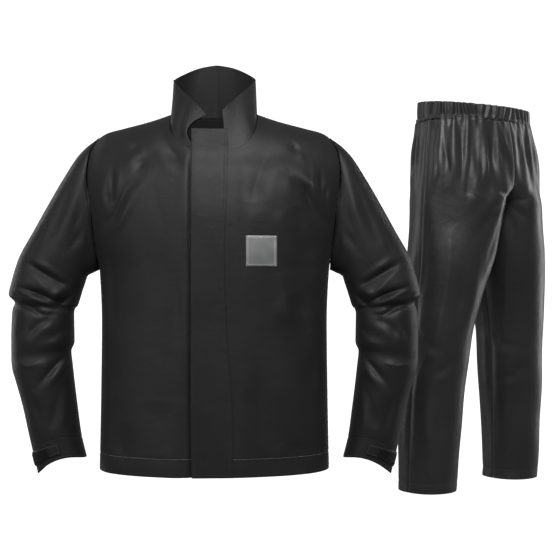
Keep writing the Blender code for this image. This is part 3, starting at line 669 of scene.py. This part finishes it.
def leg_grid(face, sign, columns, heights):
    """A trouser panel with its gathers, the small puckers under the casing and the creases."""
    z, share = np.meshgrid(heights, columns, indexing="ij")
    grid = to_room(leg_point(share, z, face) * (sign, 1, 1))
    normals = outward(grid, to_room(IN_LEG * (sign, 1, 1)))
    x = grid[..., 0]
    seen = ease((0.25 - normals[..., 1]) / 0.5)
    shown = relief(x, z, TROUSER_CREASES)
    hidden = relief(2 * TROUSERS_X - 0.012 - x, z + 0.006, TROUSER_CREASES)
    height = seen * shown + (1 - seen) * hidden + sway(x + 0.5 * grid[..., 1], z, 17, 14, 70)
    below = np.maximum(BAND_FOOT_Z - z, 0)
    puckers = 0.0016 * np.exp(-below / 0.018) * np.cos(2 * math.pi * BAND_GATHERS * share)
    seams = ease(np.minimum(share, 1 - share) / 0.05)
    foot = ease((z - LEG["z"].min()) / 0.020)
    height = height * seams * foot * ease(below / 0.012 + 0.3) + puckers * seams
    tucked = 0.0022 * ease((z - BAND_FOOT_Z + 0.004) / 0.006)
    return grid + (height - tucked)[..., None] * normals


def waistband_grid():
    """The casing, drawn in by its elastic, dipping a little at the front."""
    count = 4 * BAND_GATHERS
    turn, height = np.meshgrid(np.linspace(0, 2 * math.pi, 16 * count, endpoint=False), np.linspace(0, 1, 15))
    names = ("side", "front", "back", "shift")
    side, front, back, shift = (float(read(LEG, "z", name, BAND_FOOT_Z)) for name in names)
    random = np.random.default_rng(23)
    strengths = random.uniform(0.3, 2.1, count)
    lean = (0.010 * np.sin(5 * turn + 1) + 0.007 * np.sin(13 * turn)) * (height - 0.5)
    share = (turn / (2 * math.pi) + lean) % 1
    middle = np.sin(math.pi * np.clip(height, 0.0, 1.0))
    drawn = BAND_FOOT_GATHERS + (1 - BAND_FOOT_GATHERS) * ease(3 * height)
    gather = BAND_GATHER_DEPTH * gathered(share, strengths) * drawn - 0.0010 * middle
    x = (side - gather) * np.cos(turn)
    y = (np.where(np.sin(turn) < 0, front, back) - gather) * np.sin(turn) + shift
    foot = BAND_FOOT_Z + SEAM
    z = foot + height * (BAND_TOP_Z - foot + BAND_DIP * np.sin(turn))
    return to_room(np.stack([x, y, z], axis=-1))


# Materials


def linked(tree, kind, inputs=(), **settings):
    """A shader node with its settings, and its inputs set to values or joined to outputs."""
    made = tree.nodes.new("ShaderNode" + kind)
    for name, value in settings.items():
        setattr(made, name, value)
    for name, value in dict(inputs).items():
        if isinstance(value, bpy.types.NodeSocket):
            tree.links.new(value, made.inputs[name])
        else:
            made.inputs[name].default_value = value
    return made


def spread(tree, value, low, high):
    """A noise value spread over a range."""
    inputs = {"Value": value, "From Min": 0.30, "From Max": 0.70, "To Min": low, "To Max": high}
    return linked(tree, "MapRange", inputs).outputs["Result"]


def cloth(name, colour, roughness, specular, crinkle, weave, worn):
    """Coated woven cloth: a fine weave along the cut, small crinkles, patchy colour and gloss, and worn edges."""
    material = bpy.data.materials.new(name)
    material.use_nodes = True
    tree = material.node_tree
    shader = tree.nodes["Principled BSDF"]
    place = tree.nodes.new("ShaderNodeTexCoord")
    patches = linked(tree, "TexNoise", {"Vector": place.outputs["Object"], "Scale": 9.0, "Detail": 4.0})
    specks = linked(tree, "TexNoise", {"Vector": place.outputs["Object"], "Scale": 420.0, "Detail": 2.0})
    tone = spread(tree, patches.outputs["Fac"], 0.88, 1.12)
    grain = spread(tree, specks.outputs["Fac"], 0.90, 1.10)
    both = linked(tree, "Math", {0: tone, 1: grain}, operation="MULTIPLY").outputs[0]
    edges = linked(tree, "NewGeometry").outputs["Pointiness"]
    rub = linked(tree, "MapRange", {"Value": edges, "From Min": 0.505, "From Max": 0.56, "To Min": 0.0, "To Max": worn})
    shade = linked(tree, "Math", {0: both, 1: rub.outputs["Result"]}, operation="ADD").outputs[0]
    tint = linked(tree, "VectorMath", {0: colour, "Scale": shade}, operation="SCALE").outputs["Vector"]
    tree.links.new(tint, shader.inputs["Base Color"])
    gloss = spread(tree, patches.outputs["Fac"], roughness - 0.05, roughness + 0.06)
    tree.links.new(gloss, shader.inputs["Roughness"])
    shader.inputs["Specular IOR Level"].default_value = specular
    shader.inputs["Sheen Weight"].default_value = 0.06
    shader.inputs["Sheen Roughness"].default_value = 0.45
    creased = {"Vector": place.outputs["Object"], "Scale": 38.0, "Detail": 5.0, "Distortion": 0.7}
    small = linked(tree, "TexNoise", creased).outputs["Fac"]
    bump = linked(tree, "Bump", {"Height": small, "Strength": crinkle, "Distance": 0.004}).outputs["Normal"]
    for direction in ("X", "Y"):
        waves = {"Vector": place.outputs["UV"], "Scale": 420.0, "Distortion": 0.3}
        threads = linked(tree, "TexWave", waves, bands_direction=direction).outputs["Fac"]
        height = {"Height": threads, "Strength": weave, "Distance": 0.0002, "Normal": bump}
        bump = linked(tree, "Bump", height).outputs["Normal"]
    tree.links.new(bump, shader.inputs["Normal"])
    return material


def thread(name, colour):
    """Twisted sewing thread."""
    material = bpy.data.materials.new(name)
    material.use_nodes = True
    tree = material.node_tree
    shader = tree.nodes["Principled BSDF"]
    place = tree.nodes.new("ShaderNodeTexCoord").outputs["Object"]
    twist = linked(tree, "TexWave", {"Vector": place, "Scale": 900.0}, bands_direction="DIAGONAL").outputs["Fac"]
    tone = linked(tree, "MapRange", {"Value": twist, "To Min": 0.75, "To Max": 1.15}).outputs["Result"]
    tint = linked(tree, "VectorMath", {0: colour, "Scale": tone}, operation="SCALE").outputs["Vector"]
    tree.links.new(tint, shader.inputs["Base Color"])
    height = linked(tree, "Bump", {"Height": twist, "Strength": 0.4, "Distance": 0.0002})
    tree.links.new(height.outputs["Normal"], shader.inputs["Normal"])
    shader.inputs["Roughness"].default_value = 0.5
    shader.inputs["Sheen Weight"].default_value = 0.2
    return material


def hooks(name):
    """Hook tape: rows of small dark bristles."""
    material = cloth(name, (0.007, 0.007, 0.008), 0.75, 0.25, 0.2, 0.2, 0.0)
    tree = material.node_tree
    shader = tree.nodes["Principled BSDF"]
    place = tree.nodes["Texture Coordinate"].outputs["UV"]
    cells = linked(tree, "TexVoronoi", {"Vector": place, "Scale": 700.0, "Randomness": 0.35}).outputs["Distance"]
    height = linked(tree, "Bump", {"Height": cells, "Strength": 0.9, "Distance": 0.0008})
    tree.links.new(height.outputs["Normal"], shader.inputs["Normal"])
    return material


def label(name):
    """A bare silvery patch under clear vinyl, with a painted highlight along its welded rim."""
    material = bpy.data.materials.new(name)
    material.use_nodes = True
    tree = material.node_tree
    shader = tree.nodes["Principled BSDF"]
    place = tree.nodes.new("ShaderNodeTexCoord").outputs["UV"]
    soft = linked(tree, "TexNoise", {"Vector": place, "Scale": 16.0, "Detail": 2.0, "Distortion": 0.3}).outputs["Fac"]
    ramp = linked(tree, "ValToRGB", {"Fac": soft})
    ramp.color_ramp.elements[0].position = 0.36
    ramp.color_ramp.elements[0].color = (0.290, 0.292, 0.296, 1)
    ramp.color_ramp.elements[1].position = 0.64
    ramp.color_ramp.elements[1].color = (0.440, 0.442, 0.446, 1)
    sides = linked(tree, "SeparateXYZ", {"Vector": place}).outputs
    away = []
    for side in ("X", "Y"):
        off = linked(tree, "Math", {0: sides[side], 1: LABEL_SIZE / 2}, operation="SUBTRACT").outputs[0]
        away.append(linked(tree, "Math", {0: off}, operation="ABSOLUTE").outputs[0])
    furthest = linked(tree, "Math", {0: away[0], 1: away[1]}, operation="MAXIMUM").outputs[0]
    # The outer few millimetres are made paler: a painted highlight on the welded rim
    rim_highlight_range = {"Value": furthest, "From Min": 0.0262, "From Max": 0.0270, "To Min": 0.88, "To Max": 1.30}
    rim = linked(tree, "MapRange", rim_highlight_range).outputs["Result"]
    tint = linked(tree, "VectorMath", {0: ramp.outputs["Color"], "Scale": rim}, operation="SCALE").outputs["Vector"]
    tree.links.new(tint, shader.inputs["Base Color"])
    height = linked(tree, "Bump", {"Height": soft, "Strength": 0.25, "Distance": 0.003})
    tree.links.new(height.outputs["Normal"], shader.inputs["Coat Normal"])
    shader.inputs["Metallic"].default_value = 0.35
    shader.inputs["Roughness"].default_value = 0.42
    shader.inputs["Coat Weight"].default_value = 0.9
    shader.inputs["Coat Roughness"].default_value = 0.10
    return material


JACKET = cloth("jacket_cloth_look", (0.0190, 0.0190, 0.0198), 0.50, 0.34, 0.18, 0.10, 0.20)
# A darker copy of the jacket cloth for the underlap above the flap: painted shade where the collar ends and the flap
# overhang it
PAINTED_SHADE_UNDERLAP = cloth("painted_shade_underlap_look", (0.0090, 0.0090, 0.0094), 0.80, 0.10, 0.10, 0.15, 0.0)
# A darker copy of the cloth for the inner faces of the cloth pieces: painted shade inside the garment
PAINTED_SHADE_INSIDE = cloth("painted_shade_inner_face_look", (0.0150, 0.0150, 0.0155), 0.62, 0.24, 0.15, 0.12, 0.0)
TROUSER = cloth("trouser_cloth_look", (0.0290, 0.0290, 0.0305), 0.40, 0.55, 0.24, 0.08, 0.30)
HOOKS = hooks("hook_nylon_look")
LABEL = label("label_vinyl_look")
BLACK_THREAD = thread("black_thread", (0.016, 0.016, 0.017))
GREY_THREAD = thread("grey_thread", (0.085, 0.085, 0.088))
# Pale thread for the hem seam, standing for the bright highlights along it: painted highlight
PAINTED_HIGHLIGHT_THREAD = thread("painted_highlight_thread", (0.420, 0.420, 0.430))
LOOKS = {"jacket_cloth": JACKET, "trouser_cloth": TROUSER, "hook_nylon": HOOKS, "label_vinyl": LABEL}


# Pieces


def mesh_piece(name, points, quads, material, uv=None):
    mesh = bpy.data.meshes.new(name)
    mesh.from_pydata(points.tolist(), [], quads.tolist())
    mesh.materials.append(material)
    if uv is not None:
        layer = mesh.uv_layers.new(name="cut")
        layer.data.foreach_set("uv", uv[quads.ravel()].astype(np.float32).ravel())
    mesh.shade_smooth()
    obj = bpy.data.objects.new(name, mesh)
    bpy.context.scene.collection.objects.link(obj)
    return obj


def cloth_piece(node, grid, inside, slot, wrap=False, thickness=SHELL):
    """A thin shell that stands for a node, with its outer face on the grid."""
    rows, columns = grid.shape[:2]
    index = np.arange(rows * columns).reshape(rows, columns)
    right = np.roll(index, -1, axis=1)
    last = columns if wrap else columns - 1
    quads = np.stack([index[:-1, :last], right[:-1, :last], right[1:, :last], index[1:, :last]], axis=-1).reshape(-1, 4)
    flat = grid.reshape(-1, 3)
    corners = flat[quads]
    normals = np.cross(corners[:, 2] - corners[:, 0], corners[:, 3] - corners[:, 1])
    if (normals * (corners.mean(axis=1) - inside)).sum() < 0:
        quads = quads[:, ::-1]
    cut = np.stack([distance_in(grid, "left").mean(axis=0) + 0 * grid[..., 0], distance_in(grid, "bottom")], axis=-1)
    obj = mesh_piece(node + "_cloth", flat, quads, LOOKS[slot], cut.reshape(-1, 2))
    wall = obj.modifiers.new("wall", "SOLIDIFY")
    wall.thickness = thickness
    wall.offset = -1
    # Cloth pieces get the darker inner-face look on their inside: painted shade
    if slot.endswith("_cloth"):
        obj.data.materials.append(PAINTED_SHADE_INSIDE)
        wall.material_offset = 1
    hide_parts(node)
    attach(obj, "root")
    return obj


def line_in(grid, normals, border, inset, trim=0.0):
    """A line on the cloth, inset from a border, and the normals along it."""
    run = turned(distance_in(grid, border), border)
    rows, across = turned(grid, border), turned(normals, border)
    columns = np.arange(rows.shape[1])
    i = np.clip((run < inset).sum(axis=0) - 1, 0, len(run) - 2)
    t = ((inset - run[i, columns]) / (run[i + 1, columns] - run[i, columns]))[:, None]
    line = rows[i, columns] * (1 - t) + rows[i + 1, columns] * t
    away = np.append(0, np.cumsum(np.linalg.norm(np.diff(line, axis=0), axis=-1)))
    kept = (away >= trim) & (away <= away[-1] - trim)
    return line[kept], across[i, columns][kept]


def stitches(name, lines, material, pitch=0.0036, length=0.0025, thick=0.0006):
    """Rows of stitches, each a small rounded bar lying half in the cloth."""
    points, quads = [], []
    for line, normals in lines:
        away = np.append(0, np.cumsum(np.linalg.norm(np.diff(line, axis=0), axis=-1)))
        starts = np.arange(pitch / 2, away[-1] - pitch / 2, pitch)
        middle, nearby, up = (
            np.stack([np.interp(at, away, column) for column in source.T], axis=-1)
            for source, at in ((line, starts), (line, starts + 0.0008), (normals, starts))
        )
        ahead = nearby - middle
        ahead /= np.linalg.norm(ahead, axis=-1, keepdims=True)
        up /= np.linalg.norm(up, axis=-1, keepdims=True)
        beside = np.cross(ahead, up)
        base = sum(map(len, points))
        for along, size in ((-0.5, 0.35), (-0.3, 1.0), (0.3, 1.0), (0.5, 0.35)):
            for a, b in ((-0.5, 0.0), (0.0, 0.55), (0.5, 0.0), (0.0, -0.3)):
                points.append(middle + ahead * along * length + (beside * a + up * b) * thick * size)
        count = len(middle)
        for ring in range(3):
            for corner in range(4):
                other = (corner + 1) % 4
                four = [4 * ring + corner, 4 * ring + other, 4 * ring + 4 + other, 4 * ring + 4 + corner]
                quads.append(base + np.array(four)[None] * count + np.arange(count)[:, None])
        for first, order in ((0, (3, 2, 1, 0)), (12, (0, 1, 2, 3))):
            four = [first + corner for corner in order]
            quads.append(base + np.array(four)[None] * count + np.arange(count)[:, None])
    obj = mesh_piece(name, np.concatenate(points), np.concatenate(quads), material)
    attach(obj, "root")
    return obj


def sewn(grid, normals, rows, trim=0.0):
    """Stitch lines for rows given as a border and how far in they lie."""
    return [line_in(grid, normals, border, inset, trim) for border, inset in rows]


HEM_BAND = 0.036
CUFF_BAND = 0.042


def build_torso():
    u, v = fine(92, 0.0035), fine(162, 0.0014)
    for side, sign in (("left", 1), ("right", -1)):
        grid = torso_half(u, v, "front", sign)
        grid[:, 0, 0] = sign * SEAM / 2
        normals = outward(grid, IN_TORSO)
        grid = press(grid, normals, "right", depth=0.0022, width=0.0030, pucker=0.0005)
        grid = press(grid, normals, "bottom", HEM_BAND, 0.0009, 0.0016, 0.0004)
        obj = cloth_piece("jacket_front_" + side, grid, IN_TORSO, "jacket_cloth")
        # The hem is sewn with the pale thread: painted highlight along the seam
        hem = stitches("hem_stitches_" + side, sewn(grid, normals, [("bottom", HEM_BAND + 0.0015)]), PAINTED_HIGHLIGHT_THREAD)
        top = sewn(grid[:, len(u) // 3 :], normals[:, len(u) // 3 :], [("top", 0.006), ("right", 0.006)], 0.004)
        seams = stitches("front_stitches_" + side, top, BLACK_THREAD)

    halves = [torso_half(u, v, "back", sign) for sign in (-1, 1)]
    grid = np.concatenate([halves[0][:, :0:-1], halves[1]], axis=1)
    normals = outward(grid, IN_TORSO)
    for border in ("left", "right"):
        grid = press(grid, normals, border, depth=0.0012, pucker=0.0004)
    grid = press(grid, normals, "bottom", HEM_BAND, 0.0009, 0.0016, 0.0004)
    obj = cloth_piece("jacket_back", grid, IN_TORSO, "jacket_cloth")
    rows = [("bottom", HEM_BAND + 0.0015), ("left", 0.006), ("right", 0.006), ("top", 0.006)]
    back_rows = stitches("back_stitches", sewn(grid, normals, rows, 0.004), BLACK_THREAD)


def build_sleeves():
    last = len(SLEEVE["depth"]) - 1
    rows = np.unique(np.concatenate([np.linspace(0, last, 182), [0.02, 0.05, 0.09, 0.14]]))
    thetas = np.linspace(0, 2 * math.pi, 128, endpoint=False)
    row, theta = np.meshgrid(rows, thetas, indexing="ij")
    for side, sign in (("left", 1), ("right", -1)):
        flip = np.array([sign, 1, 1])
        grid = sleeve_point(row, theta, sign) * flip
        normals = outward(grid, IN_SLEEVE * flip, wrap=True)
        grid = press(grid, normals, "bottom", depth=0.0022, width=0.0030, pucker=0.0005)
        grid = press(grid, normals, "top", CUFF_BAND, 0.0010, 0.0018, 0.0004)
        obj = cloth_piece("sleeve_" + side, grid, IN_SLEEVE * flip, "jacket_cloth", wrap=True)
        lines = sewn(grid, normals, [("top", CUFF_BAND + 0.0015), ("top", 0.004)])
        cuff = stitches("cuff_stitches_" + side, lines, GREY_THREAD)

        tab = sleeve_patch(np.linspace(16.42, 16.80, 14), np.linspace(0.10, 1.75, 40), 2 * SEAM + TAB_THICK, sign) * flip
        rows_in, turns_in = np.linspace(16.46, 16.76, 12), np.linspace(0.25, 1.30, 28)
        patch = sleeve_patch(rows_in, turns_in, 2 * SEAM + TAB_THICK + PATCH_THICK, sign) * flip
        borders = ("left", "right", "bottom", "top")
        obj = cloth_piece("cuff_tab_" + side, tab, IN_CUFF * flip, "jacket_cloth", thickness=DOUBLE_SHELL)
        lines = sewn(tab, outward(tab, IN_CUFF * flip), [(border, 0.0025) for border in borders], 0.0025)
        edge = stitches("tab_stitches_" + side, lines, GREY_THREAD)
        obj = cloth_piece("hook_patch_" + side, patch, IN_CUFF * flip, "hook_nylon")
        lines = sewn(patch, outward(patch, IN_CUFF * flip), [(border, 0.0020) for border in borders], 0.0020)
        edge = stitches("patch_stitches_" + side, lines, BLACK_THREAD)


def build_collar():
    heights = fine(40, 0.006)
    left = collar_half("left", heights, 70)
    right = collar_half("right", heights, 70) * (-1, 1, 1)
    grid = np.concatenate([right[:, :0:-1], left], axis=1)
    normals = outward(grid, IN_COLLAR)
    grid = press(grid, normals, "top", 0.006, 0.0006, 0.0014, 0.0002)
    obj = cloth_piece("collar", grid, IN_COLLAR, "jacket_cloth")
    rows = [("top", 0.0065), ("left", 0.006), ("right", 0.006), ("bottom", 0.010)]
    edge = stitches("collar_stitches", sewn(grid, normals, rows, 0.004), BLACK_THREAD)


def build_front_pieces():
    z = HEM_Z + fine(170, 0.0014) * (FLAP_TOP_Z - HEM_Z)
    across = fine(34, 0.01)
    right, left = read(FLAP, "z", "right_edge", z), read(FLAP, "z", "left_edge", z)
    x = right[:, None] + across * (left - right)[:, None]
    high = z[:, None] + 0 * x
    free = np.exp(-((x - right[:, None]) / 0.030) ** 2)
    lift = 2 * SEAM + 0.0014 + free * (0.0030 + 0.0014 * np.sin(high * 21 + 1) * np.sin(high * 8.3))
    grid = on_front(x, high, lift)
    normals = outward(grid, IN_TORSO)
    grid = press(grid, normals, "right", 0.0075, 0.0006, 0.0016, 0.0003)
    grid = press(grid, normals, "bottom", HEM_BAND, 0.0006, 0.0016, 0.0002)
    obj = cloth_piece("storm_flap", grid, IN_TORSO, "jacket_cloth", thickness=DOUBLE_SHELL)
    rows = [("left", 0.006), ("right", 0.0075), ("top", 0.006), ("bottom", 0.006)]
    edge = stitches("flap_stitches", sewn(grid, normals, rows, 0.005), BLACK_THREAD)

    x = np.linspace(UNDERLAP_RIGHT_X, UNDERLAP_LEFT_X, 36)
    x, z = np.meshgrid(x, np.linspace(UNDERLAP_FOOT_Z, UNDERLAP_TOP_Z, 30))
    grid = on_front(x, z, -SEAM - 0.0012 + 0.0006 * np.sin(x * 90), UNDERLAP_LEAN)
    obj = cloth_piece("underlap", grid, IN_TORSO, "jacket_cloth")
    # The underlap gets the darker copy of the cloth: painted shade
    obj.data.materials[0] = PAINTED_SHADE_UNDERLAP
    edge = stitches("underlap_stitches", sewn(grid, outward(grid, IN_TORSO), [("top", 0.006)], 0.004), BLACK_THREAD)

    x = np.linspace(LABEL_LEFT_X, LABEL_LEFT_X + LABEL_SIZE, 30)
    x, z = np.meshgrid(x, np.linspace(LABEL_TOP_Z - LABEL_SIZE, LABEL_TOP_Z, 30))
    middle_x, middle_z = LABEL_LEFT_X + LABEL_SIZE / 2, LABEL_TOP_Z - LABEL_SIZE / 2
    round_x, round_z = (x - middle_x) / LABEL_SIZE, (z - middle_z) / LABEL_SIZE
    bulge = 0.0010 * np.maximum(0, 1 - 4 * round_x**2) * np.maximum(0, 1 - 4 * round_z**2)
    grid = on_front(x, z, 2 * SEAM + LABEL_THICK + bulge)
    obj = cloth_piece("chest_label", grid, IN_TORSO, "label_vinyl")
    rows = [(border, 0.0018) for border in ("left", "right", "bottom", "top")]
    edge = stitches("label_stitches", sewn(grid, outward(grid, IN_TORSO), rows, 0.0018), BLACK_THREAD, thick=0.0012)


def build_trousers():
    columns = fine(72, 0.004)
    heights = BAND_FOOT_Z + (LEG["z"].min() - BAND_FOOT_Z) * fine(160, 0.0014)
    heights = np.append(BAND_FOOT_Z + np.array([0.008, 0.005, 0.003, 0.0015]), heights)
    sizes = {"front": ((0.30, 0.88), 0.225), "back": ((0.31, 0.88), 0.234)}
    for side, sign in (("left", 1), ("right", -1)):
        inside = to_room(IN_LEG * (sign, 1, 1))
        for face, (flat, area) in sizes.items():
            grid = leg_grid(face, sign, columns, heights)
            normals = outward(grid, inside)
            for border in ("left", "right"):
                grid = press(grid, normals, border, depth=0.0012, pucker=0.0005)
            grid = press(grid, normals, "top", 0.022, 0.0008, 0.0016, 0.0003)
            obj = cloth_piece(f"trouser_{face}_{side}", grid, inside, "trouser_cloth")
            lines = sewn(grid, normals, [("top", 0.022), ("left", 0.005), ("right", 0.005)], 0.004)
            edge = stitches(f"{face}_leg_stitches_{side}", lines, GREY_THREAD)

    grid = waistband_grid()
    middle = to_room(np.array([0, 0, 0.04]))
    obj = cloth_piece("trouser_waistband", grid, middle, "trouser_cloth", wrap=True, thickness=DOUBLE_SHELL)
    lines = sewn(grid, outward(grid, middle, wrap=True), [("bottom", 0.004), ("top", 0.006)])
    edge = stitches("waist_stitches", lines, GREY_THREAD)


def aim(obj, target):
    way = np.array(target) - np.array(obj.location)
    obj.rotation_euler = (math.atan2(math.hypot(way[0], way[1]), -way[2]), 0, math.atan2(way[1], way[0]) - math.pi / 2)


def soft_light(name, place, size, power):
    lamp = bpy.data.lights.new(name, "AREA")
    lamp.shape = "RECTANGLE"
    lamp.size, lamp.size_y = size
    lamp.energy = power
    obj = bpy.data.objects.new(name, lamp)
    obj.location = place
    aim(obj, (0.18, 0.1, -0.4))
    bpy.context.scene.collection.objects.link(obj)


def plain(name, colour, glow):
    material = bpy.data.materials.new(name)
    material.use_nodes = True
    shader = material.node_tree.nodes["Principled BSDF"]
    shader.inputs["Base Color"].default_value = colour
    shader.inputs["Roughness"].default_value = 0.9
    shader.inputs["Emission Color"].default_value = (1, 1, 1, 1)
    shader.inputs["Emission Strength"].default_value = glow
    return material


def studio():
    """A pale floor where the wearer would stand, a white wall behind, soft lights and the photo's camera."""
    floor_points = np.array([(-6, -6, -1.45), (6, -6, -1.45), (6, 6, -1.45), (-6, 6, -1.45)], dtype=float)
    floor = mesh_piece("floor", floor_points, np.array([[0, 1, 2, 3]]), plain("floor_white", (0.8, 0.8, 0.8, 1), 1.0))
    ring = [(-4.5, -4.5), (4.5, -4.5), (4.5, 4.5), (-4.5, 4.5)]
    wall_points = np.array([(x, y, z) for z in (-1.45, 4.5) for x, y in ring], dtype=float)
    sides = np.array([[i, (i + 1) % 4, (i + 1) % 4 + 4, i + 4] for i in range(4)])
    wall = mesh_piece("wall", wall_points, sides, plain("wall_white", (0.8, 0.8, 0.8, 1), 1.0))
    for white in (floor, wall):
        white.visible_diffuse = False
        white.visible_glossy = False
        white.visible_shadow = False
    soft_light("key", (0.5, -2.5, 2.1), (1.6, 1.2), 74)
    soft_light("fill", (-2.1, -2.4, 0.7), (1.4, 2.0), 17)
    soft_light("left_strip", (-1.9, 1.2, 0.1), (0.4, 2.2), 10)
    soft_light("right_strip", (2.4, 1.4, 0.1), (0.4, 2.2), 14)
    world = bpy.data.worlds.new("studio")
    world.use_nodes = True
    world.node_tree.nodes["Background"].inputs["Color"].default_value = (1, 1, 1, 1)
    world.node_tree.nodes["Background"].inputs["Strength"].default_value = 0.15
    bpy.context.scene.world = world
    lens = bpy.data.cameras.new("photo_camera")
    lens.sensor_width = 36
    lens.lens = 72.58
    camera = bpy.data.objects.new("photo_camera", lens)
    camera.location = (0.1415, -2.450, -0.358)
    camera.rotation_euler = (math.pi / 2, 0, 0)
    bpy.context.scene.collection.objects.link(camera)
    bpy.context.scene.camera = camera
    bpy.context.scene.view_settings.view_transform = "Standard"


build_torso()
build_sleeves()
build_collar()
build_front_pieces()
build_trousers()
studio()
